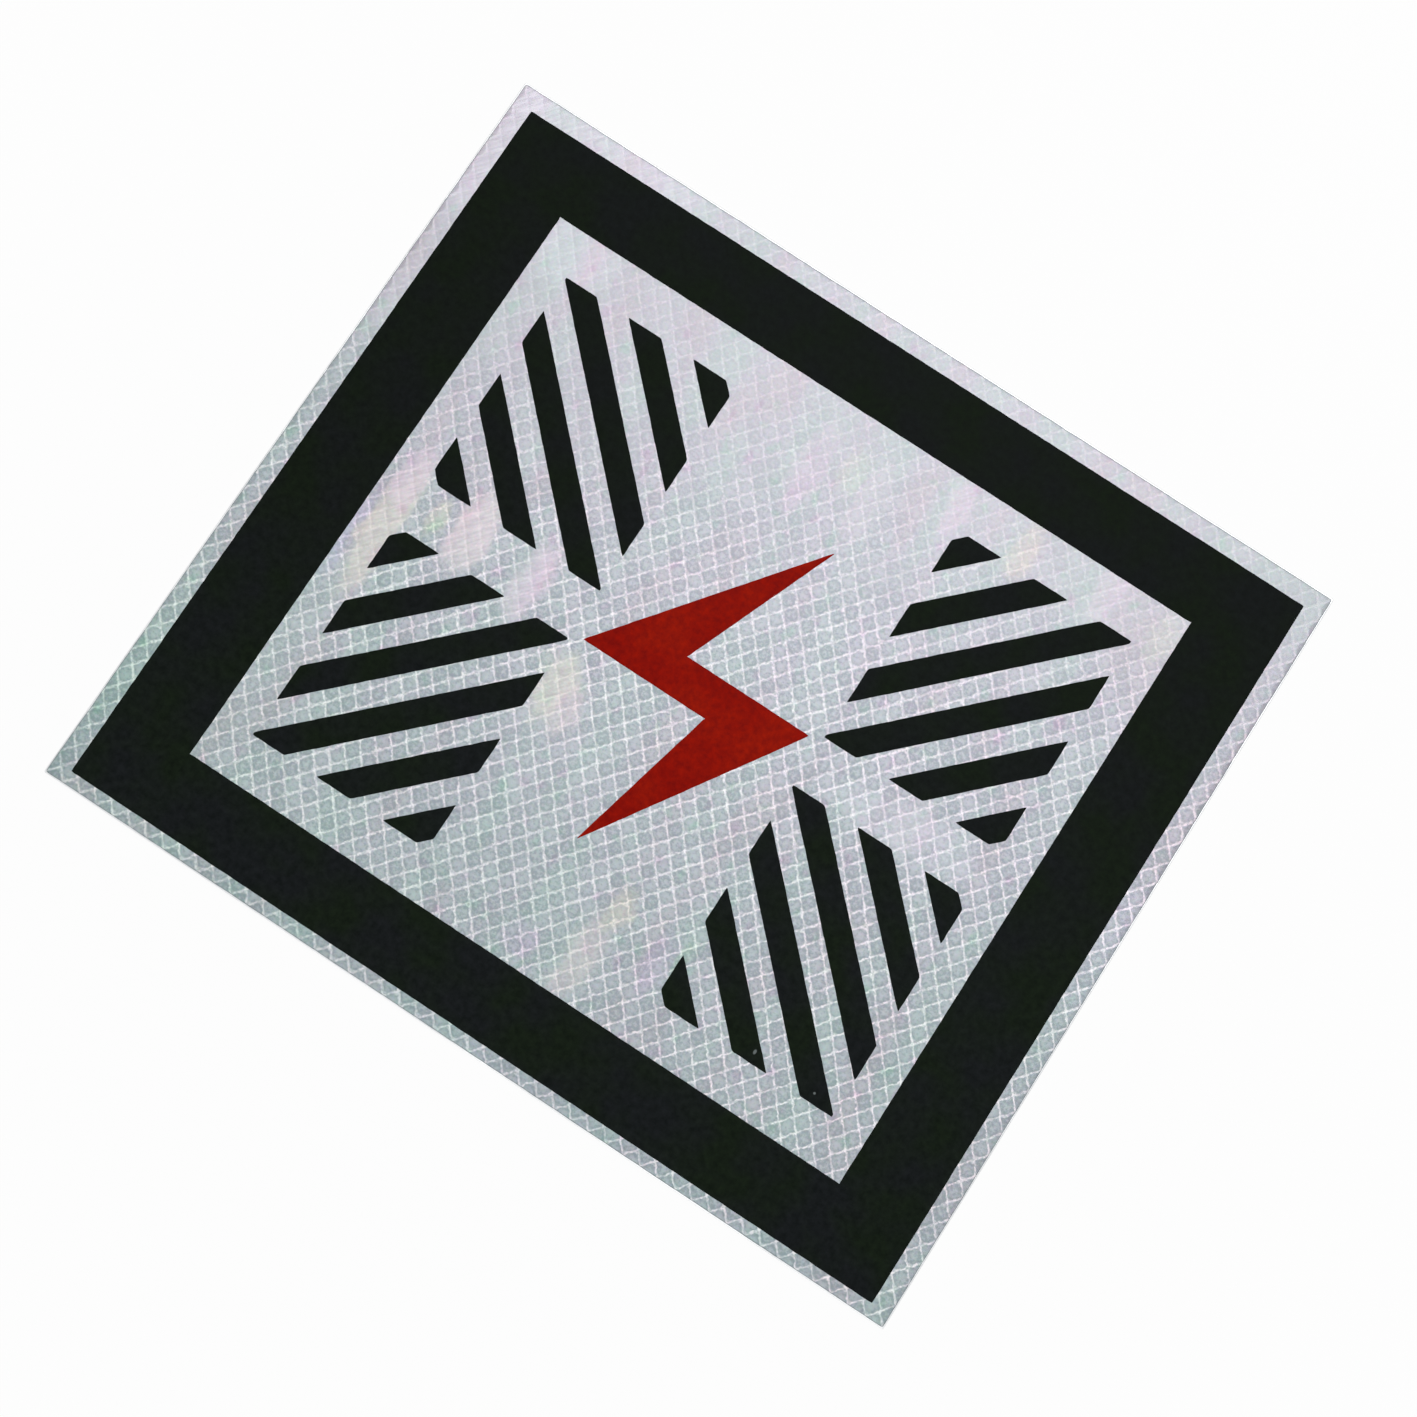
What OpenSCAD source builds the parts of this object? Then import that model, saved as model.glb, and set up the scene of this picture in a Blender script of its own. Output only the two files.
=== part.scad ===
// High voltage warning sign: a flat aluminium plate faced with reflective sheeting,
// with a black border, a red lightning bolt and four hazard stripe panels laid on it.
// The sign lies on its back. X runs along its reading direction, Y towards its top
// and Z out of its face. The origin is the middle of the back of the plate.

/* [Plate and sheeting] */
// Width of the sign along its reading direction
sign_w = 300; // [220:1:450]
// Height of the sign
sign_h = 260; // [200:1:400]
// Thickness of the aluminium plate
plate_t = 1.5; // [0.8:0.1:3]
// Thickness of the reflective sheeting
sheeting_t = 0.4; // [0.2:0.05:0.8]
// Strip of bare plate outside the sheeting, where it was trimmed
sheeting_trim = 0.6; // [0.2:0.1:2]
// Thickness of the coloured film on the sheeting
colour_t = 0.1; // [0.05:0.05:0.3]

/* [Border] */
// Strip left bare outside the border's left and right bands
border_side_margin = 7; // [4:0.5:12]
// Mean strip left bare outside the border's top and bottom bands
border_end_margin = 6; // [4:0.5:12]
// Width of the left and right bands of the border
border_side_w = 26.5; // [10:0.5:32]
// Width of the top and bottom bands of the border
border_end_w = 23.5; // [10:0.5:30]
// How far the whole print sits below the middle of the plate
print_drop = 1.2; // [-1.5:0.1:1.5]

/* [Lightning bolt] */
// Height of the bolt from its top tip to its bottom tip
bolt_h = 116; // [80:0.5:130]
// Width of the bolt from its left point to its right point
bolt_w = 73.5; // [50:0.5:84]
// Height between the bolt's two level edges
bolt_step_h = 12.8; // [6:0.2:24]
// Width between the bolt's two inner corners
bolt_waist_w = 15; // [8:0.5:20]
// How far the top tip lies to the right of the middle
bolt_top_lean = 13; // [2:0.5:20]
// How far the bottom tip lies to the left of the middle
bolt_bottom_lean = 5; // [2:0.5:20]

/* [Hazard stripe panels] */
// Room between a panel and the side bands of the border
panel_side_gap = 12.5; // [4:0.5:20]
// Room between a panel and the top or bottom band of the border
panel_end_gap = 15.25; // [4:0.25:24]
// Room between the upper and the lower panels
panel_row_gap = 17.5; // [4:0.5:30]
// Room between a panel and the nearer point of the bolt
panel_bolt_gap = 4.25; // [2:0.25:10]
// Width of one stripe, measured across it
stripe_w = 8.5; // [5:0.5:14]
// Space between two stripes, measured across them
stripe_gap = 8.5; // [5:0.5:14]

/* [Hidden] */

// Heights of the faces that the layers are laid on
sheeting_z = plate_t;
colour_z = plate_t + sheeting_t;

// The border's outside, and the window inside it
border_w = sign_w - 2 * border_side_margin;
border_h = sign_h - 2 * border_end_margin;
window_w = border_w - 2 * border_side_w;
window_h = border_h - 2 * border_end_w;

// A panel fills the room between the bolt and the border
panel_w = (window_w - bolt_w) / 2 - panel_side_gap - panel_bolt_gap;
panel_h = (window_h - panel_row_gap) / 2 - panel_end_gap;
panel_x = (bolt_w + panel_w) / 2 + panel_bolt_gap;
panel_y = (panel_row_gap + panel_h) / 2;

// Stripes run at this angle and stop short of the panel's two far corners
stripe_angle = 45;
stripe_pitch = stripe_w + stripe_gap;
panel_diagonal = norm([panel_w, panel_h]);
panel_span = panel_w * sin(stripe_angle) + panel_h * cos(stripe_angle);
stripe_count = floor((panel_span + stripe_gap) / stripe_pitch);

// Six corners of the bolt, from the top tip and on round its left side
bolt_outline = [
    [bolt_top_lean, bolt_h / 2],
    [-bolt_w / 2, -bolt_step_h / 2],
    [bolt_waist_w / 2, -bolt_step_h / 2],
    [-bolt_bottom_lean, -bolt_h / 2],
    [bolt_w / 2, bolt_step_h / 2],
    [-bolt_waist_w / 2, bolt_step_h / 2]
];

// Colours, as red, green and blue shares
aluminium = [0.78, 0.79, 0.8];
silver_white = [0.72, 0.74, 0.76];
black = [0.09, 0.1, 0.09];
red = [0.61, 0.07, 0.03];

// A flat layer: an outline of even thickness, with its back at the given height
module layer(z, thickness) {
    translate([0, 0, z])
        linear_extrude(thickness)
            children();
}

// A piece of coloured film: an outline about the middle of the print, laid on the sheeting
module coloured_film(shade) {
    color(shade)
        layer(colour_z, colour_t)
            translate([0, -print_drop])
                children();
}

// Diagonal bars that fall to the right, cut off square at the panel's edges
module hazard_stripes() {
    intersection() {
        square([panel_w, panel_h], center = true);
        for (i = [0 : stripe_count - 1])
            rotate(-stripe_angle)
                translate([0, (i - (stripe_count - 1) / 2) * stripe_pitch])
                    square([panel_diagonal, stripe_w], center = true);
    }
}

// A stripe panel in the quarter of the sign that the two signs name.
// Mirroring makes the stripes of all four panels point in towards the bolt.
module stripe_panel(side, row) {
    coloured_film(black)
        translate([side * panel_x, row * panel_y])
            mirror([side * row > 0 ? 1 : 0, 0])
                hazard_stripes();
}

module backing_plate() {
    color(aluminium)
        layer(0, plate_t)
            square([sign_w, sign_h], center = true);
}

module reflective_sheeting() {
    color(silver_white)
        layer(sheeting_z, sheeting_t)
            square([sign_w - 2 * sheeting_trim, sign_h - 2 * sheeting_trim], center = true);
}

module border() {
    coloured_film(black)
        difference() {
            square([border_w, border_h], center = true);
            square([window_w, window_h], center = true);
        }
}

module lightning_bolt() {
    coloured_film(red)
        polygon(bolt_outline);
}

module stripes_top_left() {
    stripe_panel(side = -1, row = 1);
}

module stripes_top_right() {
    stripe_panel(side = 1, row = 1);
}

module stripes_bottom_left() {
    stripe_panel(side = -1, row = -1);
}

module stripes_bottom_right() {
    stripe_panel(side = 1, row = -1);
}

backing_plate();
reflective_sheeting();
border();
lightning_bolt();
stripes_top_left();
stripes_top_right();
stripes_bottom_left();
stripes_bottom_right();
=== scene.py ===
import math

import bmesh
import bpy
import numpy as np
from mathutils import Matrix, Vector, noise
from mathutils.bvhtree import BVHTree


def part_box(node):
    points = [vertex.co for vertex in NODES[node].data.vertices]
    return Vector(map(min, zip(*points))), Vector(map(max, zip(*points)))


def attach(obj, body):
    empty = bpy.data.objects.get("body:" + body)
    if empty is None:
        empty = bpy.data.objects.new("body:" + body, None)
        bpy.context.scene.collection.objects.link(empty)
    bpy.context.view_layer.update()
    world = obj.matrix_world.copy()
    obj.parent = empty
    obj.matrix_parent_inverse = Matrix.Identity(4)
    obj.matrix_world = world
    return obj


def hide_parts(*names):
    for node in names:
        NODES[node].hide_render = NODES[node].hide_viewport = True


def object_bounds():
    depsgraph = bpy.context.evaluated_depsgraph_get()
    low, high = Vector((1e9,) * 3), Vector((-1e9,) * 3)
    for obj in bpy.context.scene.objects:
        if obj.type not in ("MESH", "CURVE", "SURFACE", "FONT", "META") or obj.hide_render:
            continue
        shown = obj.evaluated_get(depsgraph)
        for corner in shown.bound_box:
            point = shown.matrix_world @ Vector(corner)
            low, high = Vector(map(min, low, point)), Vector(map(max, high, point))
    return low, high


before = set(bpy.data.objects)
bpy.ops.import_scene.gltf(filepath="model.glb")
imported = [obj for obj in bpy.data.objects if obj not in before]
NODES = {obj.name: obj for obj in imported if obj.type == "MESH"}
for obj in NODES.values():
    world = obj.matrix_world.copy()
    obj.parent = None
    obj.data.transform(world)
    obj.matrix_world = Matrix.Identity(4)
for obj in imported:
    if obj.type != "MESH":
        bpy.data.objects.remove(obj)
cad_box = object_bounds()

MM = 0.001
WHITE = (1.0, 1.0, 1.0)

# Sealed cells of the sheeting: the distance between two corners across and along the sign
CELL_W = 6.1 * MM
CELL_H = 7.4 * MM
# Shares of a cell's side at which its mesh has a line, from one seal line to the next
CELL_STEPS = (0.0, 0.06, 0.2, 0.8, 0.94)
# How deep a seal line lies: share of the full depth, at shares of a side from the line
SEAM_REACH = (0.0, 0.06, 0.2)
SEAM_SINK = (1.0, 0.6, 0.0)
SEAM_DEPTH = 0.05 * MM
# The printed films are laid over the seams and show them faintly
FILM_SEAM_DEPTH = 0.02 * MM

# The painted seal lines waver within a band of this width, as a share of a cell's side, and
# over these lengths
WAVER = 0.3
RISING_WAVER_LENGTH = 2.3 * MM
FALLING_WAVER_LENGTH = 2.0 * MM
# Distance to the oval that rounds a cell's corners, as a share of a side: what it is in the
# cell's middle, how far it falls to the top corner, and how much of that to a side corner
OVAL_MIDDLE = 0.42
OVAL_FALL = 0.55
OVAL_ACROSS = 0.75
# How softly the sides of a cell's outline meet
OUTLINE_SOFT = 0.1
# Cells are larger towards the bottom right, by this share of a side
CELL_GROWTH = 0.03
# A cell's colours, at shares of a side inwards from its rim: pale at the rim, then a dark band of
# painted shade beside the sunk seal, and lighter again towards the middle
CELL_COLOURS = (
    (0.015, (0.61, 0.635, 0.65)),
    (0.06, (0.57, 0.60, 0.615)),
    (0.105, (0.38, 0.43, 0.45)),
    (0.17, (0.38, 0.43, 0.45)),
    (0.40, (0.44, 0.49, 0.51)),
)
# The prisms mottle a cell towards the dark colour, by this share at most. The mottle is lighter
# by up to this much from cell to cell, and by this much for each side inwards from a cell's rim, which
# is painted shade along the rim.
PRISM_LENGTH = 1.0 * MM
CELL_DARK = (0.20, 0.25, 0.27)
CELL_DARK_SHARE = 0.55
LIGHTER_BY_CELL = 0.16
LIGHTER_INWARDS = 0.30
# Painted glare washes the cells out to this colour, by this share, between these heights on the sign
CELL_GLARE = (0.44, 0.475, 0.485)
CELL_GLARE_SHARE = 0.68
CELL_GLARE_HEIGHTS = (5 * MM, 115 * MM)
# Painted glare makes the seal lines faint between these heights, down to this share
LINE_FAINT_SHARE = 0.12
LINE_FAINT_HEIGHTS = (-20 * MM, 90 * MM)
# Places count as higher towards the left, by this slope, and up or down in clouds by this much
HEIGHT_LEAN = 0.2
CLOUD_LENGTH = 26 * MM
CLOUD_STRAY = 35 * MM
# Lengths of the stretches in which seal lines are crisp or faint, and of the beads along them
CRISP_LENGTH = 4 * MM
BEAD_LENGTH = 0.9 * MM
# Seal lines and the spots where they cross: how far from the middle they are full and where they
# end, as shares of a cell's side, and how much they cover
LINE_REACH = (0.02, 0.095)
LINE_SHARE = 0.8
CROSSING_REACH = (0.04, 0.17)
CROSSING_SHARE = 0.6
LINE_COLOUR = (0.80, 0.80, 0.81)
LINE_PINKER = (0.95, 0.90, 0.93)
CROSSING_COLOUR = (0.90, 0.90, 0.90)
# The bottom right of the sign starts where the distances right and down from its middle add up
# to the first of these lengths, and is reached in full at the second
BOTTOM_RIGHT = (60 * MM, 210 * MM)
# Painted rainbow sheen: long soft streaks up the sign, and sparse spots a cell wide
STREAK_LENGTHS = (12 * MM, 55 * MM)
STREAK_TINTS = (
    (0.34, (0.90, 1.00, 0.96)),
    (0.45, (0.955, 0.985, 0.99)),
    (0.55, (0.975, 0.955, 1.00)),
    (0.66, (1.00, 0.925, 0.965)),
)
SPOT_LENGTHS = (6 * MM, 8 * MM)
SPOT_TINTS = (
    (0.25, (0.82, 1.00, 0.88)),
    (0.36, WHITE),
    (0.64, WHITE),
    (0.74, (1.00, 0.86, 0.96)),
)
RAINBOW_SHARE = 0.8
# Painted sheen turns the sheeting's teal to lilac between these heights, and to green towards the
# bottom left, where the places across and up the sign add up to less and less
LILAC_SHEEN = (1.02, 0.94, 0.985)
LILAC_HEIGHTS = (-95 * MM, 55 * MM)
GREEN_SHEEN = (0.99, 1.05, 1.0)
BOTTOM_LEFT = (-110 * MM, -250 * MM)
# Fine grain of many colours
SPECKLE_LENGTH = 0.9 * MM
SPECKLE_SHARE = 0.13
# The sheeting is coloured dark on its sloped cut edge: in full from the first of these depths down,
# and not at all above the second
CUT_DEPTHS = (0.16 * MM, 0.08 * MM)
CUT_COLOUR = (0.16, 0.19, 0.20)
CUT_SHARE = 0.85
# Fine relief of the sheeting: its depth and strength
SHEETING_RELIEF = (0.02 * MM, 0.3)

# Tints that a painted patch multiplies the sheeting's colour by: painted sheen and glare, and painted
# shade for DIM and SHADE
CREAM = (1.07, 1.06, 0.94)
PEACH = (1.10, 1.03, 1.01)
ROSE = (1.07, 0.95, 1.05)
PINK = (1.07, 0.98, 1.03)
GREEN = (1.01, 1.07, 0.98)
PALE = (1.05, 1.05, 1.06)
FAINT = (1.02, 1.02, 1.02)
LILAC = (0.97, 0.96, 1.06)
DIM = (0.975, 0.98, 0.975)
SHADE = (0.87, 0.91, 0.91)
# Patches of painted sheen, glare and shade: middle, half width, half height, tint, and how far painted
# glare washes the lattice out
SHEENS = (
    # Painted glare on the washed out top left corner, and the margin below it
    (-148 * MM, 116 * MM, 20 * MM, 46 * MM, PALE, 0.7),
    (-150 * MM, 130 * MM, 14 * MM, 14 * MM, PALE, 0.5),
    (-118 * MM, 128 * MM, 50 * MM, 12 * MM, PALE, 0.5),
    (-106 * MM, 92 * MM, 16 * MM, 14 * MM, PALE, 0.3),
    (-147 * MM, 50 * MM, 7 * MM, 20 * MM, FAINT, 0.3),
    # Left of the bolt
    (-107 * MM, -12 * MM, 7 * MM, 31 * MM, CREAM, 0.75),
    (-108 * MM, 6 * MM, 6 * MM, 14 * MM, PINK, 0.5),
    (-83 * MM, 2 * MM, 8 * MM, 18 * MM, PEACH, 0.75),
    (-60 * MM, -2 * MM, 7 * MM, 17 * MM, PINK, 0.7),
    (-36 * MM, -24 * MM, 7 * MM, 16 * MM, CREAM, 0.6),
    (-30 * MM, -29 * MM, 6 * MM, 12 * MM, PEACH, 0.4),
    (-115.5 * MM, -18 * MM, 3.5 * MM, 20 * MM, LILAC, 0.3),
    (-95 * MM, -1 * MM, 4 * MM, 8 * MM, CREAM, 0.2),
    (-42.5 * MM, -19 * MM, 3 * MM, 4 * MM, GREEN, 0.0),
    # Above the bolt, and along the top
    (-8 * MM, 76 * MM, 7 * MM, 20 * MM, PINK, 0.2),
    (4 * MM, 81 * MM, 5 * MM, 9 * MM, GREEN, 0.1),
    (13 * MM, 76 * MM, 6 * MM, 20 * MM, PINK, 0.2),
    (37 * MM, 90 * MM, 5 * MM, 14 * MM, PINK, 0.4),
    (62 * MM, 90 * MM, 6 * MM, 12 * MM, CREAM, 0.2),
    (90 * MM, 92 * MM, 6 * MM, 14 * MM, PINK, 0.4),
    (112 * MM, 90 * MM, 5 * MM, 11 * MM, GREEN, 0.2),
    (75 * MM, 92 * MM, 60 * MM, 16 * MM, DIM, 0.2),
    # Right of the bolt, and the margin there
    (78 * MM, 0 * MM, 8 * MM, 12 * MM, PINK, 0.3),
    (80 * MM, -3 * MM, 36 * MM, 9 * MM, PALE, 0.2),
    (148 * MM, 2 * MM, 9 * MM, 30 * MM, PALE, 0.0),
    # Below the bolt
    (18 * MM, -70 * MM, 5 * MM, 10 * MM, CREAM, 0.3),
    (15 * MM, -88 * MM, 7 * MM, 17 * MM, PEACH, 0.4),
    (36 * MM, -78 * MM, 5 * MM, 14 * MM, ROSE, 0.1),
    (-3 * MM, -93 * MM, 8 * MM, 6 * MM, ROSE, 0.0),
    (41.5 * MM, -72 * MM, 3 * MM, 8 * MM, GREEN, 0.0),
    # Broad and faint painted sheen low on the sign, and painted shade along its lower edges
    (-90 * MM, -100 * MM, 60 * MM, 20 * MM, FAINT, 0.0),
    (100 * MM, -98 * MM, 50 * MM, 30 * MM, FAINT, 0.0),
    (-111 * MM, -60 * MM, 14 * MM, 46 * MM, FAINT, 0.1),
    (-25 * MM, -40 * MM, 26 * MM, 28 * MM, FAINT, 0.1),
    (0 * MM, -132 * MM, 190 * MM, 12 * MM, SHADE, 0.0),
    (-152 * MM, -112 * MM, 12 * MM, 50 * MM, SHADE, 0.0),
)
# How far the patches' outlines stray at most, and within which lengths
SHEEN_STRAY = 4 * MM
SHEEN_STRAY_LENGTHS = (5 * MM, 12 * MM)
# Rows of prisms show in the patches: how they run, and their colours
ROW_TURN = math.radians(-50)
ROW_LENGTH = 6 * MM
ROW_WIDTH = 0.9 * MM
ROW_COLOURS = ((0.38, (0.47, 0.49, 0.51)), (0.62, (0.56, 0.585, 0.60)))

# Printed films: lengths of their mottle, of their slow change of cast and of their fine relief,
# and that relief's depth and strength
FILM_MOTTLE_LENGTH = 2.4 * MM
FILM_CAST_LENGTH = 18 * MM
FILM_RELIEF_LENGTH = 0.5 * MM
FILM_RELIEF = (0.01 * MM, 0.4)
# Painted light brightens them more and more between these heights. Places count as lower towards
# the right, by this slope.
PAINTED_LIGHT_HEIGHTS = (110 * MM, -110 * MM)
PAINTED_LIGHT_LEAN = 0.3

# Tiny places where the black print is thin: middle, half width and half height
THIN_SPOTS = (
    (74.5 * MM, -83.0 * MM, 0.6 * MM, 1.0 * MM),
    (96.0 * MM, -83.5 * MM, 0.5 * MM, 0.5 * MM),
)
THIN_COLOUR = (0.22, 0.25, 0.25)
THIN_SHARE = 0.7

# Rolling lines of the aluminium: their lengths along each axis, their colours, and the depth
# and strength of their relief
ROLLING_LENGTHS = (40 * MM, 0.12 * MM, 0.12 * MM)
ROLLING_COLOURS = ((0.25, (0.62, 0.63, 0.645)), (0.75, (0.83, 0.84, 0.85)))
ROLLING_RELIEF = (0.01 * MM, 0.5)
# Its darker patches: their lengths along each axis, and their tint
DULL_LENGTHS = (30 * MM, 18 * MM, 3 * MM)
DULL_TINT = (0.58, 0.59, 0.60)

# Edges that a knife left: how far they stray outwards, and how quickly
CUT_STRAY = 0.22 * MM
CUT_STRAY_LENGTH = 2.6 * MM
# They stray less within this reach of a corner, and by only this share at the corner itself
CORNER_REACH = 0.6 * MM
CORNER_SHARE = 0.03
# A corner is where the outward directions of two edges add up to less than this
CORNER = 1.98
# Points this close to a cut count as on it
CUT_SNAP = 0.01 * MM
# Cut edges slope down: how wide the slope is, and how far it falls
SHEETING_SLOPE = (0.30 * MM, 0.26 * MM)
FILM_SLOPE = (0.12 * MM, 0.05 * MM)
# A side with a smaller share of upward slope than this is upright
UPRIGHT = 0.1

# Edge of the sheared plate, from its face down: how far in, and how high up the plate
SHEAR_PROFILE = (
    (0.30 * MM, 1.00),
    (0.10 * MM, 0.975),
    (0.02 * MM, 0.92),
    (0.00 * MM, 0.82),
    (0.00 * MM, 0.62),
    (0.05 * MM, 0.56),
    (0.08 * MM, 0.20),
    (0.04 * MM, 0.02),
    (0.10 * MM, 0.00),
)
PLATE_CORNER = 0.6 * MM
PLATE_CORNER_STEPS = 6
PLATE_EDGE_STEP = 4 * MM

# The photograph's camera: the point of the face that it looks at, how far away it is, and the
# direction and height that it looks from
VIEW_TARGET = Vector((6.7 * MM, -4.5 * MM, 2.0 * MM))
VIEW_DISTANCE = 456.1 * MM
VIEW_DIRECTION = math.radians(-70.2)
VIEW_ELEVATION = math.radians(84.74)
# How far the top of the picture is turned from the top of the sign
VIEW_TURN = math.radians(33.15)
LENS = 38.1
SENSOR = 36.0
# Nothing nearer to the camera than this is drawn
NEAREST_SEEN = 10 * MM

FLOOR_SIZE = 60.0
# The floor lies a hair below the plate, so that the two faces don't flicker
FLOOR_DROP = 0.02 * MM
PAPER = (0.9, 0.9, 0.9)
# Share of plain white that the camera sees on the floor by the sign. The rest is lit paper with
# the shadow on it. Between these distances, where the lamps' light falls off, it grows to all white.
FLOOR_WHITE = 0.94
FLOOR_ALL_WHITE = (0.15, 0.7)
# Even light from all round, as a share of white
WORLD_LIGHT = 0.35
# Softboxes: name, place, width and power
SOFTBOXES = (
    ("softbox_key", (0.0, 0.66, 1.25), 1.3, 10.5),
    ("softbox_fill", (0.2, -1.1, 1.2), 1.0, 3.0),
)


class Tree:
    """A node tree that is written as short calls. Most of them return a socket."""

    def __init__(self, tree):
        self.nodes = tree.nodes
        self.links = tree.links

    def feed(self, socket, value):
        """Links a socket to another, or sets it to a number, a vector or a colour."""
        if isinstance(value, bpy.types.NodeSocket):
            self.links.new(value, socket)
        elif socket.type == "RGBA":
            socket.default_value = (*value, 1.0)
        else:
            socket.default_value = value

    def node(self, kind, inputs=None, **settings):
        """A new node with its settings, and its inputs by name or number."""
        made = self.nodes.new(kind)
        for name, value in settings.items():
            setattr(made, name, value)
        for key, value in (inputs or {}).items():
            self.feed(made.inputs[key], value)
        return made

    def math(self, operation, *values):
        """One sum on numbers."""
        made = self.node("ShaderNodeMath", dict(enumerate(values)), operation=operation)
        return made.outputs[0]

    def length(self, vector):
        """How long a vector is."""
        made = self.node("ShaderNodeVectorMath", {0: vector}, operation="LENGTH")
        return made.outputs["Value"]

    def fade(self, value, start, end, before=0.0, after=1.0):
        """A soft step from one number at the start to another at the end."""
        inputs = {"Value": value, "From Min": start, "From Max": end, "To Min": before, "To Max": after}
        made = self.node("ShaderNodeMapRange", inputs, interpolation_type="SMOOTHSTEP")
        return made.outputs["Result"]


class Finish(Tree):
    """A material with one shader, and the places on the piece that has it."""

    def __init__(self, name, settings):
        self.material = bpy.data.materials.new(name)
        self.material.use_nodes = True
        super().__init__(self.material.node_tree)
        self.shader = self.nodes["Principled BSDF"]
        for socket, value in settings.items():
            self.feed(self.shader.inputs[socket], value)
        self.place = self.node("ShaderNodeTexCoord").outputs["Object"]
        parts = self.node("ShaderNodeSeparateXYZ", {0: self.place}).outputs
        self.x = parts["X"]
        self.y = parts["Y"]
        self.z = parts["Z"]

    def stretched(self, along_x, along_y, along_z=1.0):
        """Places in grains of the given lengths along each axis."""
        lengths = (1 / along_x, 1 / along_y, 1 / along_z)
        return self.node("ShaderNodeMapping", {"Vector": self.place, "Scale": lengths}).outputs[0]

    def grain(self, places, detail=2.0, roughness=0.5):
        """Cloudy noise, about half on average, with grains one unit long."""
        inputs = {"Vector": places, "Scale": 1.0, "Detail": detail, "Roughness": roughness}
        return self.node("ShaderNodeTexNoise", inputs).outputs[0]

    def mottle(self, length, detail=2.0, roughness=0.5):
        """Cloudy noise with grains as long across the sign as along it."""
        return self.grain(self.stretched(length, length), detail, roughness)

    def speckle(self, along_x, along_y):
        """Cloudy noise of many colours, with grains of the given lengths."""
        inputs = {"Vector": self.stretched(along_x, along_y), "Scale": 1.0}
        return self.node("ShaderNodeTexNoise", inputs).outputs["Color"]

    def ramp(self, value, stops):
        """A colour for each value, blended between (value, colour) stops."""
        made = self.node("ShaderNodeValToRGB", {0: value})
        spots = made.color_ramp.elements
        for spot, (at, colour) in zip((spots[0], spots[1]), (stops[0], stops[-1])):
            spot.position = at
            spot.color = (*colour, 1.0)
        for at, colour in stops[1:-1]:
            spots.new(at).color = (*colour, 1.0)
        return made.outputs["Color"]

    def mix(self, share, first, second, blend="MIX"):
        """Two colours blended by the second one's share."""
        inputs = {0: share, 6: first, 7: second}
        made = self.node("ShaderNodeMix", inputs, data_type="RGBA", blend_type=blend)
        return made.outputs[2]

    def patch(self, places, x, y, half_w, half_h):
        """Share of a soft oval patch: one in its inner half, and none from its outline on."""
        scale = (1 / half_w, 1 / half_h, 0)
        shift = (-x / half_w, -y / half_h, 0)
        inputs = {"Vector": places, "Scale": scale, "Location": shift}
        away = self.length(self.node("ShaderNodeMapping", inputs).outputs[0])
        return self.fade(away, 0.5, 1.0, before=1.0, after=0.0)

    def paint(self, colour):
        """Makes this the shader's colour."""
        self.feed(self.shader.inputs["Base Color"], colour)

    def roughen(self, roughness):
        """Makes this the shader's roughness."""
        self.feed(self.shader.inputs["Roughness"], roughness)

    def bump(self, height, depth, strength):
        """Small relief whose full height is the given depth."""
        inputs = {"Height": height, "Distance": depth, "Strength": strength}
        self.feed(self.shader.inputs["Normal"], self.node("ShaderNodeBump", inputs).outputs[0])


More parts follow.
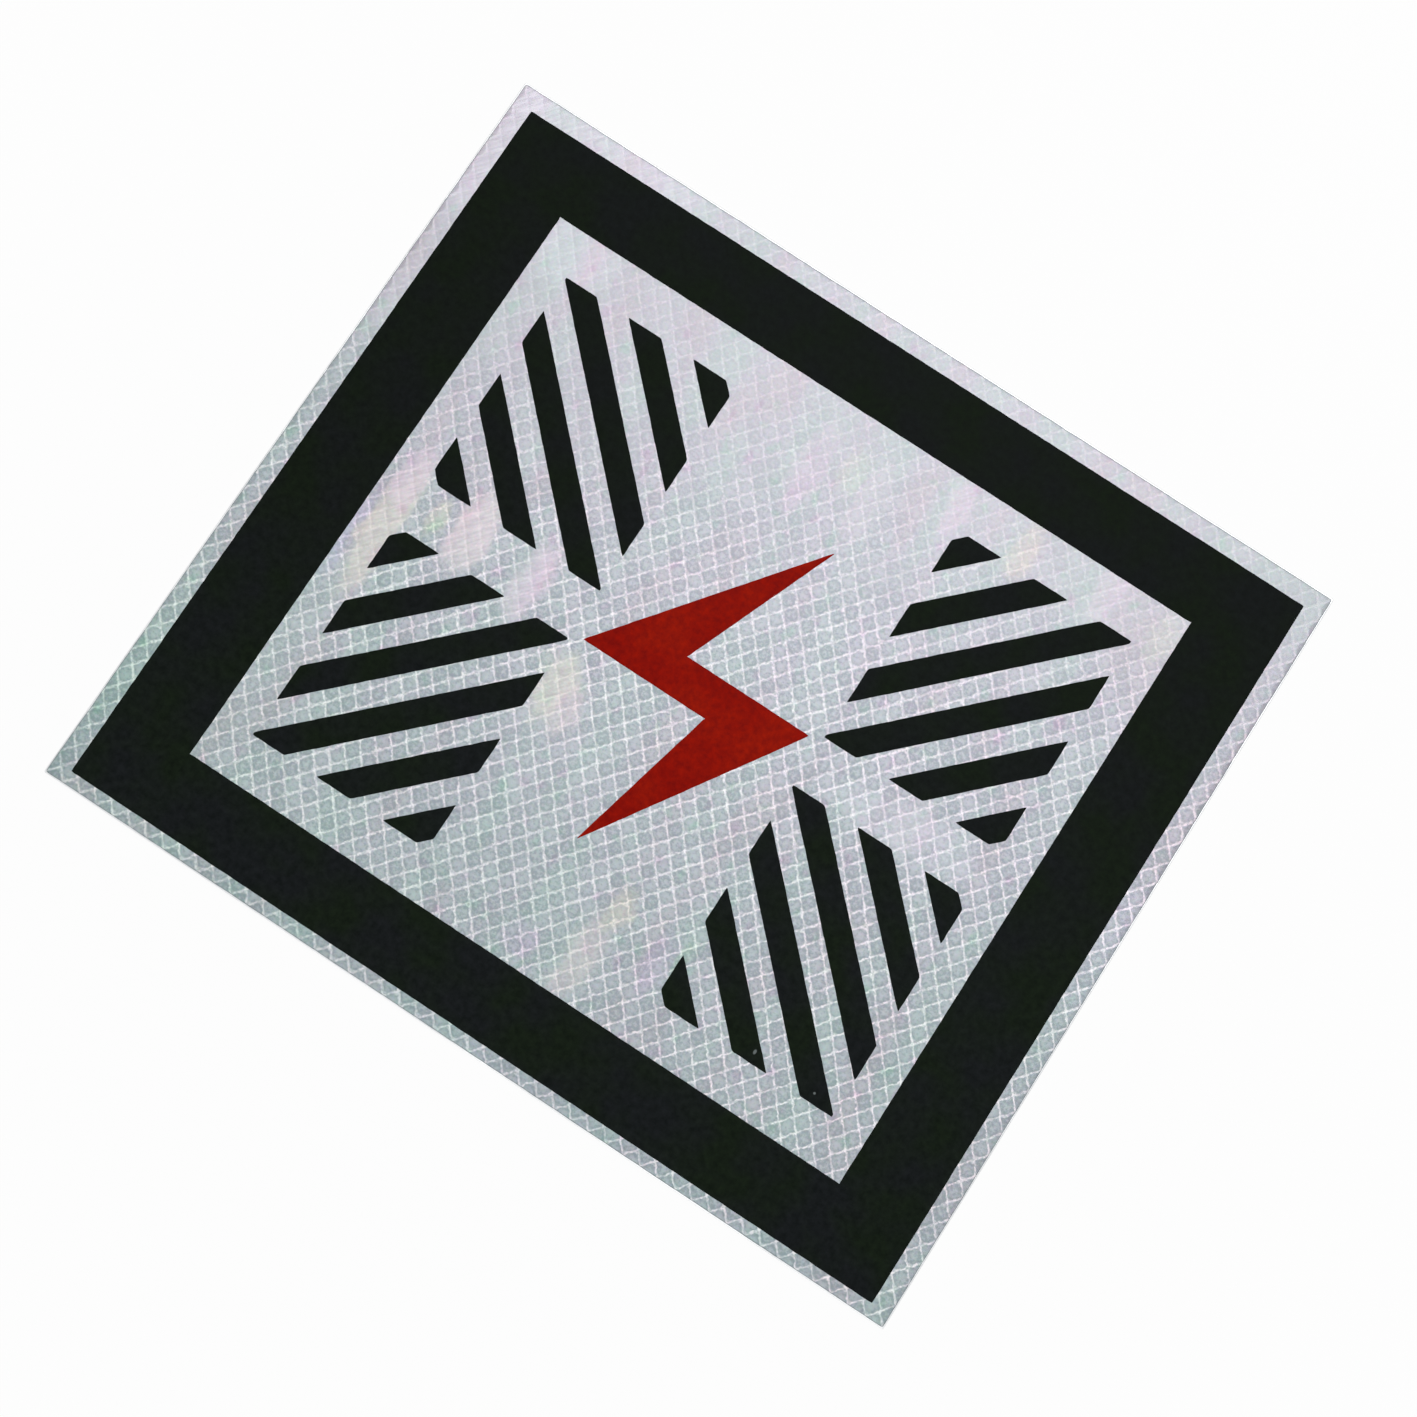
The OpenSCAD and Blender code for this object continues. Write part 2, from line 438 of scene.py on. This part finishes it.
class Sheeting(Finish):
    """Clear film over silvery prisms, sealed down in a lattice of cells."""

    def __init__(self):
        settings = {
            "Metallic": 0.45,
            "Roughness": 0.45,
            "Coat Weight": 0.35,
            "Coat Roughness": 0.18,
            "Coat IOR": 1.45,
        }
        super().__init__("prismatic_sheeting", settings)
        across = self.math("DIVIDE", self.x, CELL_W)
        along = self.math("DIVIDE", self.y, CELL_H)
        self.rising = self.line_number(self.math("SUBTRACT", across, along), RISING_WAVER_LENGTH)
        self.falling = self.line_number(self.math("ADD", across, along), FALLING_WAVER_LENGTH)
        # Shares of a cell's side to the nearest line of each set
        self.to_rising = self.math("PINGPONG", self.rising, 0.5)
        self.to_falling = self.math("PINGPONG", self.falling, 0.5)
        self.to_bottom_right = self.fade(self.math("SUBTRACT", self.x, self.y), *BOTTOM_RIGHT)
        cloud = self.math("MULTIPLY_ADD", self.mottle(CLOUD_LENGTH), 2 * CLOUD_STRAY, -CLOUD_STRAY)
        leant = self.math("MULTIPLY_ADD", self.x, -HEIGHT_LEAN, self.y)
        self.height = self.math("ADD", leant, cloud)
        self.prisms = self.mottle(PRISM_LENGTH, 2.0, 0.6)

    def line_number(self, straight, length):
        """Number that is whole on one of the two sets of seal lines, which waver."""
        number = self.math("MULTIPLY_ADD", self.mottle(length), WAVER, straight)
        return self.math("SUBTRACT", number, WAVER / 2)

    def rim_distance(self):
        """How far inside its cell a place is, in shares of a side. Cells are round at their
        corners, and most so above and below."""
        in_cell = [self.math("FRACT", number) for number in (self.falling, self.rising)]
        up = self.math("SUBTRACT", *in_cell)
        side = self.math("MULTIPLY_ADD", self.math("ADD", *in_cell), OVAL_ACROSS, -OVAL_ACROSS)
        away = self.length(self.node("ShaderNodeCombineXYZ", {0: up, 1: side}).outputs[0])
        to_oval = self.math("MULTIPLY_ADD", away, -OVAL_FALL, OVAL_MIDDLE)
        to_rim = self.math("SMOOTH_MIN", self.to_rising, self.to_falling, OUTLINE_SOFT)
        to_rim = self.math("SMOOTH_MIN", to_rim, to_oval, OUTLINE_SOFT)
        return self.math("MULTIPLY_ADD", self.to_bottom_right, CELL_GROWTH, to_rim)

    def cells(self):
        """Grey cells, each a little lighter or darker than the next and mottled by its prisms, with
        painted shade darkening each rim, and painted glare washing them out towards the top left."""
        to_rim = self.rim_distance()
        numbers = {0: self.math("FLOOR", self.rising), 1: self.math("FLOOR", self.falling)}
        cell_number = self.node("ShaderNodeCombineXYZ", numbers).outputs[0]
        tone = self.node("ShaderNodeTexWhiteNoise", {"Vector": cell_number}).outputs["Value"]
        light = self.math("MULTIPLY_ADD", tone, LIGHTER_BY_CELL, self.prisms)
        # Painted shade: cells are darker towards their sunk rims
        light = self.math("MULTIPLY_ADD", to_rim, LIGHTER_INWARDS, light)
        dark = self.fade(light, 0.50, 0.76, before=CELL_DARK_SHARE, after=0.0)
        colour = self.mix(dark, self.ramp(to_rim, CELL_COLOURS), CELL_DARK)
        # Painted glare, stronger towards the top left
        washed = self.fade(self.height, *CELL_GLARE_HEIGHTS, after=CELL_GLARE_SHARE)
        return self.mix(washed, colour, CELL_GLARE)

    def seal_lines(self, colour):
        """Adds pale seal lines, beaded and crisp in some places and faint in others. Painted glare
        makes them faint towards the top left, and they grow pinker towards the bottom right."""
        crisp = self.fade(self.mottle(CRISP_LENGTH), 0.35, 0.62, before=0.4)
        bead = self.fade(self.mottle(BEAD_LENGTH), 0.38, 0.6, before=0.3)
        strength = self.math("MULTIPLY", crisp, bead)
        # Painted glare fades the lines towards the top left
        left = self.fade(self.height, *LINE_FAINT_HEIGHTS, before=1.0, after=LINE_FAINT_SHARE)
        strength = self.math("MULTIPLY", strength, left)
        to_line = self.math("MINIMUM", self.to_rising, self.to_falling)
        line = self.fade(to_line, *LINE_REACH, before=LINE_SHARE, after=0.0)
        line_colour = self.mix(self.to_bottom_right, LINE_COLOUR, LINE_PINKER)
        colour = self.mix(self.math("MULTIPLY", line, strength), colour, line_colour)
        to_crossing = self.math("ADD", self.to_rising, self.to_falling)
        crossing = self.fade(to_crossing, *CROSSING_REACH, before=CROSSING_SHARE, after=0.0)
        return self.mix(self.math("MULTIPLY", crossing, strength), colour, CROSSING_COLOUR)

    def rows(self):
        """Colours of the slanting rows of prisms. Places are turned before they are scaled."""
        turn = {"Vector": self.place, "Rotation": (0, 0, ROW_TURN)}
        turned = self.node("ShaderNodeMapping", turn).outputs[0]
        scale = (1 / ROW_LENGTH, 1 / ROW_WIDTH, 1 / ROW_WIDTH)
        places = self.node("ShaderNodeMapping", {"Vector": turned, "Scale": scale}).outputs[0]
        return self.ramp(self.grain(places, 1.0), ROW_COLOURS)

    def sheens(self, colour):
        """Adds the painted patches of sheen, glare and shade with ragged outlines, in which the rows of
        prisms show.
        """
        haze = self.rows()
        middle = {0: self.speckle(*SHEEN_STRAY_LENGTHS), 1: (0.5, 0.5, 0.5)}
        stray = self.node("ShaderNodeVectorMath", middle, operation="SUBTRACT").outputs[0]
        moved = {0: stray, 1: (2 * SHEEN_STRAY, 2 * SHEEN_STRAY, 0), 2: self.place}
        places = self.node("ShaderNodeVectorMath", moved, operation="MULTIPLY_ADD").outputs[0]
        for x, y, half_w, half_h, tint, wash in SHEENS:
            share = self.patch(places, x, y, half_w, half_h)
            # Painted glare washes the lattice towards the rows' colours, and the tint paints sheen or
            # shade
            colour = self.mix(self.math("MULTIPLY", share, wash), colour, haze)
            colour = self.mix(share, colour, tint, "MULTIPLY")
        return colour

    def rainbow(self, colour):
        """Adds the painted rainbow sheen, and the painted sheen that slowly changes the cast up the
        sign.
        """
        for lengths, tints in ((STREAK_LENGTHS, STREAK_TINTS), (SPOT_LENGTHS, SPOT_TINTS)):
            tint = self.ramp(self.grain(self.stretched(*lengths), 1.0), tints)
            colour = self.mix(RAINBOW_SHARE, colour, tint, "MULTIPLY")
        # Painted sheen: lilac towards the top, green towards the bottom left
        lilac = self.fade(self.y, *LILAC_HEIGHTS)
        colour = self.mix(lilac, colour, LILAC_SHEEN, "MULTIPLY")
        green = self.fade(self.math("ADD", self.x, self.y), *BOTTOM_LEFT)
        return self.mix(green, colour, GREEN_SHEEN, "MULTIPLY")


def sheeting_finish():
    """Mottled grey cells, pale seal lines and a soft painted rainbow sheen, all of it washed out by
    painted glare towards the sign's top left corner."""
    finish = Sheeting()
    colour = finish.seal_lines(finish.cells())
    colour = finish.rainbow(finish.sheens(colour))
    speckle = finish.speckle(SPECKLE_LENGTH, SPECKLE_LENGTH)
    colour = finish.mix(SPECKLE_SHARE, colour, speckle, "OVERLAY")
    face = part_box("reflective_sheeting")[1].z
    start, end = (face - depth for depth in CUT_DEPTHS)
    edge = finish.fade(finish.z, start, end, before=CUT_SHARE, after=0.0)
    finish.paint(finish.mix(edge, colour, CUT_COLOUR))
    finish.bump(finish.prisms, *SHEETING_RELIEF)
    return finish.material


def film_finish(name, colour, fleck, casts, painted_light, thin_spots=()):
    """Opaque coloured film, satin and faintly mottled, and thin in a few tiny spots. Painted light
    brightens it towards the bottom right, to make up for the lamp, which stands over the sign's top."""
    finish = Finish(name, {"Specular IOR Level": 0.04})
    mottle = finish.mottle(FILM_MOTTLE_LENGTH, 4.0, 0.65)
    shade = finish.ramp(mottle, ((0.32, fleck), (0.68, colour)))
    stops = ((0.36, casts[0]), (0.5, WHITE), (0.64, casts[1]))
    cast = finish.ramp(finish.mottle(FILM_CAST_LENGTH), stops)
    shade = finish.mix(1.0, shade, cast, "MULTIPLY")
    # Painted light, growing towards the bottom right
    leant = finish.math("MULTIPLY_ADD", finish.x, -PAINTED_LIGHT_LEAN, finish.y)
    shade = finish.mix(finish.fade(leant, *PAINTED_LIGHT_HEIGHTS), shade, painted_light, "MULTIPLY")
    for x, y, half_w, half_h in thin_spots:
        thin = finish.patch(finish.place, x, y, half_w, half_h)
        shade = finish.mix(finish.math("MULTIPLY", thin, THIN_SHARE), shade, THIN_COLOUR)
    finish.paint(shade)
    finish.roughen(finish.fade(mottle, 0.3, 0.7, before=0.44, after=0.56))
    finish.bump(finish.mottle(FILM_RELIEF_LENGTH, 3.0), *FILM_RELIEF)
    return finish.material


def black_finish():
    """Black film, a little olive in some places and violet in others."""
    return film_finish(
        "black_print",
        colour=(0.0067, 0.0100, 0.0073),
        fleck=(0.0022, 0.0040, 0.0027),
        casts=((0.85, 1.05, 0.65), (1.05, 0.90, 1.25)),
        painted_light=(1.55, 1.45, 1.60),
        thin_spots=THIN_SPOTS,
    )


def red_finish():
    """Red film, a little deeper in some places and paler in others."""
    return film_finish(
        "red_print",
        colour=(0.360, 0.0075, 0.0010),
        fleck=(0.225, 0.0027, 0.0006),
        casts=((0.91, 0.7, 0.8), (1.07, 1.4, 1.2)),
        painted_light=WHITE,
    )


def aluminium_finish():
    """Mill finish sheet: fine rolling lines along the sign, and a few darker patches."""
    finish = Finish("aluminium_sheet", {"Metallic": 1.0, "Anisotropic": 0.4})
    rolling = finish.grain(finish.stretched(*ROLLING_LENGTHS), 4.0, 0.6)
    dull = finish.grain(finish.stretched(*DULL_LENGTHS), 3.0)
    dull = finish.fade(dull, 0.35, 0.7, after=0.35)
    colour = finish.ramp(rolling, ROLLING_COLOURS)
    finish.paint(finish.mix(dull, colour, DULL_TINT, "MULTIPLY"))
    finish.roughen(finish.fade(rolling, 0.2, 0.8, before=0.28, after=0.46))
    finish.bump(rolling, *ROLLING_RELIEF)
    return finish.material


def seam_share(numbers):
    """Share of a seal line's depth at lattice numbers, which are whole on the line."""
    to_line = np.abs(numbers - np.round(numbers))
    return np.interp(to_line, SEAM_REACH, SEAM_SINK)


def lattice_numbers(start, end):
    """Lattice numbers of the mesh lines that cover a stretch."""
    cells = np.arange(math.floor(start), math.ceil(end) + 1)
    return (cells[:, None] + np.array(CELL_STEPS)).ravel()


def lattice_skin(low, high, depth):
    """The sheeting's skin over a rectangle, as an open mesh with a sunk line along each seam."""
    falling = lattice_numbers(low.x / CELL_W + low.y / CELL_H, high.x / CELL_W + high.y / CELL_H)
    rising = lattice_numbers(low.x / CELL_W - high.y / CELL_H, high.x / CELL_W - low.y / CELL_H)
    falling, rising = np.meshgrid(falling, rising, indexing="ij")
    x = (falling + rising) * CELL_W / 2
    y = (falling - rising) * CELL_H / 2
    z = high.z - depth * np.maximum(seam_share(falling), seam_share(rising))
    points = np.stack((x, y, z), -1).reshape(-1, 3)
    numbers = np.arange(z.size).reshape(z.shape)
    corners = (numbers[:-1, :-1], numbers[:-1, 1:], numbers[1:, 1:], numbers[1:, :-1])
    quads = np.stack(corners, -1).reshape(-1, 4)
    # Only what lies over the rectangle, or within half a cell of it, is kept
    middle = points[quads].mean(1)
    near = np.abs(middle[:, 0] - (low.x + high.x) / 2) < (high.x - low.x) / 2 + CELL_W / 2
    near &= np.abs(middle[:, 1] - (low.y + high.y) / 2) < (high.y - low.y) / 2 + CELL_H / 2
    used, quads = np.unique(quads[near], return_inverse=True)
    mesh = bpy.data.meshes.new("skin")
    mesh.from_pydata(points[used].tolist(), [], quads.reshape(-1, 4).tolist())
    skin = bmesh.new()
    skin.from_mesh(mesh)
    bpy.data.meshes.remove(mesh)
    return skin


def cut_to_outline(skin, node, slope_w):
    """Cuts an open skin along a node's upright sides, and again at a sloped edge's inner end,
    and keeps what lies over the node."""
    solid = node.data
    cuts = {}
    for side in solid.polygons:
        if abs(side.normal.z) < UPRIGHT:
            offset = side.center.dot(side.normal)
            # Sides in one plane make one cut
            key = (round(side.normal.x, 3), round(side.normal.y, 3), round(offset, 5))
            cuts[key] = (side.center.copy(), side.normal.copy())
    for point, normal in cuts.values():
        for place in (point, point - normal * slope_w):
            everything = skin.verts[:] + skin.edges[:] + skin.faces[:]
            bmesh.ops.bisect_plane(
                skin, geom=everything, dist=CUT_SNAP, plane_co=place, plane_no=normal
            )
    sides = [side.vertices[:] for side in solid.polygons]
    tree = BVHTree.FromPolygons([vert.co for vert in solid.vertices], sides)
    above = Vector((0, 0, cad_box[1].z))
    down = Vector((0, 0, -1))
    outside = []
    for face in skin.faces:
        if tree.ray_cast(face.calc_center_median() + above, down)[0] is None:
            outside.append(face)
    bmesh.ops.delete(skin, geom=outside, context="FACES")


def shape_edges(skin, fall):
    """Lowers the outline, and moves it outwards by a little that changes along it."""
    outward = {}
    for edge in skin.edges:
        if edge.is_boundary:
            along = (edge.verts[1].co - edge.verts[0].co).normalized()
            away = along.cross(Vector((0, 0, 1)))
            middle = (edge.verts[0].co + edge.verts[1].co) / 2
            if away.dot(middle - edge.link_faces[0].calc_center_median()) < 0:
                away.negate()
            for vert in edge.verts:
                outward[vert] = outward.get(vert, Vector()) + away
    corners = [vert.co.copy() for vert, away in outward.items() if away.length < CORNER]
    for vert, away in outward.items():
        share = (1 + noise.noise(vert.co / CUT_STRAY_LENGTH)) / 2
        to_corner = min((vert.co - corner).length for corner in corners)
        share *= min(1, CORNER_SHARE + to_corner / CORNER_REACH)
        vert.co += away.normalized() * CUT_STRAY * share
        vert.co.z -= fall


def fill_flat(skin, rim):
    """Fills closed rows of edges with flat triangles. The fill runs on a copy in millimetres,
    because it folds over small steps when lengths are in metres."""
    flat = bmesh.new()
    twins = {vert: flat.verts.new(vert.co / MM) for edge in rim for vert in edge.verts}
    verts = {twin: vert for vert, twin in twins.items()}
    edges = [flat.edges.new([twins[vert] for vert in edge.verts]) for edge in rim]
    bmesh.ops.triangle_fill(flat, edges=edges)
    for face in flat.faces:
        skin.faces.new([verts[twin] for twin in face.verts])
    flat.free()


def close_below(skin, bottom):
    """Gives an open skin straight sides and a flat bottom."""
    for face in skin.faces:
        face.smooth = True
    rim = [edge for edge in skin.edges if edge.is_boundary]
    for edge in rim:
        edge.smooth = False
    made = bmesh.ops.extrude_edge_only(skin, edges=rim)["geom"]
    lower = {new for new in made if isinstance(new, bmesh.types.BMVert)}
    for vert in lower:
        vert.co.z = bottom
    edges = [new for new in made if isinstance(new, bmesh.types.BMEdge)]
    foot = [edge for edge in edges if set(edge.verts) <= lower]
    fill_flat(skin, foot)
    bmesh.ops.recalc_face_normals(skin, faces=skin.faces[:])


def add_object(name, data):
    """A new object in the scene."""
    made = bpy.data.objects.new(name, data)
    bpy.context.scene.collection.objects.link(made)
    return made


def add_piece(name, form, material, node):
    """Makes a mesh into a piece that stands for a node."""
    mesh = bpy.data.meshes.new(name)
    form.to_mesh(mesh)
    form.free()
    mesh.materials.append(material)
    piece = add_object(name, mesh)
    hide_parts(node)
    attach(piece, "root")


def add_skin(name, node, depth, foot, slope, material):
    """A film or the sheeting: the lattice cut to the node's outline, on straight sides that go
    down to the foot below the node's bottom."""
    slope_w, fall = slope
    low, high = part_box(node)
    skin = lattice_skin(low, high, depth)
    cut_to_outline(skin, NODES[node], slope_w)
    shape_edges(skin, fall)
    close_below(skin, low.z - foot)
    add_piece(name, skin, material, node)


def plate_ring(half_w, half_h, inset, z):
    """A rectangle with slightly rounded corners as a closed row of points."""
    radius = PLATE_CORNER - inset
    points = []
    for turn, (side_x, side_y) in enumerate(((1, 1), (-1, 1), (-1, -1), (1, -1))):
        centre = Vector((side_x * (half_w - PLATE_CORNER), side_y * (half_h - PLATE_CORNER), z))
        for step in range(PLATE_CORNER_STEPS + 1):
            angle = math.pi / 2 * (turn + step / PLATE_CORNER_STEPS)
            points.append(centre + radius * Vector((math.cos(angle), math.sin(angle), 0)))
    ring = []
    for start, end in zip(points, points[1:] + points[:1]):
        steps = max(1, round((end - start).length / PLATE_EDGE_STEP))
        ring += [start.lerp(end, step / steps) for step in range(steps)]
    return ring


def add_plate():
    """The plate, whose edge the shears rolled over above and tore below."""
    low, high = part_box("backing_plate")
    size = high - low
    form = bmesh.new()
    rings = []
    for inset, share in SHEAR_PROFILE:
        ring = plate_ring(size.x / 2, size.y / 2, inset, low.z + share * size.z)
        rings.append([form.verts.new(point) for point in ring])
    for upper, lower in zip(rings, rings[1:]):
        for i in range(len(upper)):
            j = (i + 1) % len(upper)
            form.faces.new((upper[i], lower[i], lower[j], upper[j])).smooth = True
    for ring, height in ((rings[0], high.z), (rings[-1], low.z)):
        hub = form.verts.new((0, 0, height))
        for i in range(len(ring)):
            form.faces.new((ring[i], ring[(i + 1) % len(ring)], hub))
    bmesh.ops.recalc_face_normals(form, faces=form.faces[:])
    add_piece("plate_sheared", form, aluminium_finish(), "backing_plate")


def add_sheeting():
    """The reflective sheeting, which lies flat on the plate."""
    add_skin(
        "sheeting_cells",
        "reflective_sheeting",
        SEAM_DEPTH,
        0.0,
        SHEETING_SLOPE,
        sheeting_finish(),
    )


def add_film(name, node, material):
    """A printed film on the sheeting, which reaches down into the seams."""
    add_skin(name, node, FILM_SEAM_DEPTH, SEAM_DEPTH, FILM_SLOPE, material)


def add_films():
    """The border, the bolt and the four panels of stripes."""
    black = black_finish()
    add_film("border_print", "border", black)
    add_film("bolt_print", "lightning_bolt", red_finish())
    for row in ("top", "bottom"):
        for side in ("left", "right"):
            node = f"stripes_{row}_{side}"
            add_film(f"{node}_print", node, black)


def white_to_camera(tree, lit, white):
    """The white shader for rays that show it to the camera, a mirror or glass, and the lit one
    for all others."""
    rays = tree.node("ShaderNodeLightPath").outputs
    seen = tree.math("MAXIMUM", rays["Is Camera Ray"], rays["Is Glossy Ray"])
    seen = tree.math("MAXIMUM", seen, rays["Is Transmission Ray"])
    return tree.node("ShaderNodeMixShader", {0: seen, 1: lit, 2: white}).outputs[0]


def paper_finish():
    """Plain pale paper that shows white and keeps the sign's shadow."""
    material = bpy.data.materials.new("floor_paper")
    material.use_nodes = True
    tree = Tree(material.node_tree)
    tree.nodes.clear()
    paper = tree.node("ShaderNodeBsdfDiffuse", {"Color": PAPER}).outputs[0]
    glow = tree.node("ShaderNodeEmission", {"Color": WHITE, "Strength": 1.0}).outputs[0]
    away = tree.length(tree.node("ShaderNodeTexCoord").outputs["Object"])
    share = tree.fade(away, *FLOOR_ALL_WHITE, before=FLOOR_WHITE)
    shown = tree.node("ShaderNodeMixShader", {0: share, 1: paper, 2: glow}).outputs[0]
    tree.node("ShaderNodeOutputMaterial", {"Surface": white_to_camera(tree, paper, shown)})
    return material


def add_floor():
    """The floor that the sign lies on."""
    half = FLOOR_SIZE / 2
    mesh = bpy.data.meshes.new("floor")
    corners = [(-half, -half, 0), (half, -half, 0), (half, half, 0), (-half, half, 0)]
    mesh.from_pydata(corners, [], [(0, 1, 2, 3)])
    mesh.materials.append(paper_finish())
    floor = add_object("floor", mesh)
    floor.location.z = -FLOOR_DROP


def add_world():
    """Even light from all round, which shows white behind the sign."""
    world = bpy.data.worlds.new("studio")
    bpy.context.scene.world = world
    world.use_nodes = True
    tree = Tree(world.node_tree)
    tree.nodes.clear()
    lit = tree.node("ShaderNodeBackground", {"Color": WHITE, "Strength": WORLD_LIGHT}).outputs[0]
    white = tree.node("ShaderNodeBackground", {"Color": WHITE, "Strength": 1.0}).outputs[0]
    tree.node("ShaderNodeOutputWorld", {"Surface": white_to_camera(tree, lit, white)})


def add_softbox(name, place, size, power):
    """A soft square lamp that faces the sign."""
    lamp = bpy.data.lights.new(name, "AREA")
    lamp.shape = "SQUARE"
    lamp.size = size
    lamp.energy = power
    made = add_object(name, lamp)
    made.location = place
    made.rotation_euler = Vector(place).to_track_quat("Z", "Y").to_euler()


def add_camera():
    """The photograph's viewpoint."""
    level = math.cos(VIEW_ELEVATION)
    back = Vector(
        (
            level * math.cos(VIEW_DIRECTION),
            level * math.sin(VIEW_DIRECTION),
            math.sin(VIEW_ELEVATION),
        )
    )
    up = Vector((-math.sin(VIEW_TURN), math.cos(VIEW_TURN), 0))
    right = up.cross(back).normalized()
    up = back.cross(right)
    data = bpy.data.cameras.new("camera")
    data.lens = LENS
    data.sensor_width = SENSOR
    data.clip_start = NEAREST_SEEN
    camera = add_object("camera", data)
    turn = Matrix((right, up, back)).transposed().to_4x4()
    camera.matrix_world = Matrix.Translation(VIEW_TARGET + back * VIEW_DISTANCE) @ turn
    bpy.context.scene.camera = camera


add_camera()
add_world()
add_floor()
for softbox in SOFTBOXES:
    add_softbox(*softbox)
add_plate()
add_sheeting()
add_films()
bpy.context.scene.view_settings.view_transform = "Standard"
